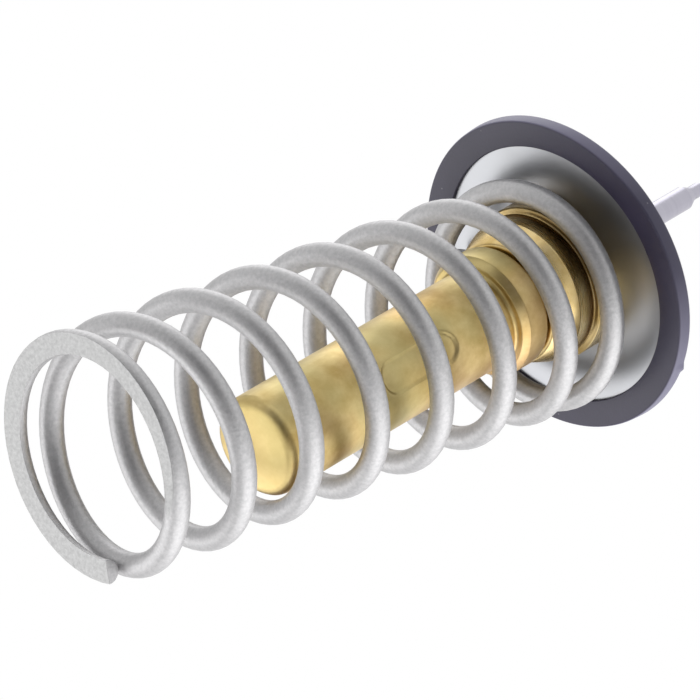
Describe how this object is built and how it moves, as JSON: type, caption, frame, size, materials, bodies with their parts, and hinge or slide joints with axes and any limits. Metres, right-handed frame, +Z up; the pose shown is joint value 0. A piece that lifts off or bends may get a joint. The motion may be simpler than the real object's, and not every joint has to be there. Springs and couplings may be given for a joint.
{
  "type": "engine thermostat insert",
  "caption": "Engine coolant valve insert: brass wax element in a ground-end coil spring, steel valve disc with a black rubber rim, and a steel piston pin.",
  "frame": {"origin": "on the surface that the ground spring end stands on, under the middle of the valve disc", "axes": "+Z up along the return spring, from its ground end to the valve disc; the valve's own axis leans 7.6 degrees from +Z towards -Y"},
  "size_m": [0.0534, 0.0531, 0.1358],
  "materials": {
    "spring_steel": "shot-peened grey",
    "brass": "satin",
    "pressed_steel": "polished",
    "pin_steel": "ground",
    "rim_rubber": "matte",
    "inner_rubber": "matte",
    "wax": "waxy",
    "washer_plastic": "smooth"
  },
  "bodies": {
    "spring": {"return_spring": "spring_steel"},
    "valve": {"wax_cup": "brass", "wax_charge": "wax", "diaphragm": "inner_rubber", "fluid_plug": "inner_rubber", "backup_washer": "washer_plastic", "guide_body": "brass", "wiper_seal": "inner_rubber", "wiper_cap": "pressed_steel", "spring_collar": "brass", "valve_disc": "pressed_steel", "rim_seal": "rim_rubber", "retaining_ring": "pin_steel"},
    "piston": {"piston_pin": "pin_steel"}
  },
  "joints": [
    {"name": "valve_lift", "type": "slide", "parent": "spring", "child": "valve", "axis": [0, 0, 1], "range_m": [-0.009, 0], "stiffness_N_per_m": 7000, "deforming": ["return_spring"]},
    {"name": "pin_stroke", "type": "slide", "parent": "valve", "child": "piston", "axis": [0, -0.1323, 0.9912], "range_m": [0, 0.009]}
  ]
}
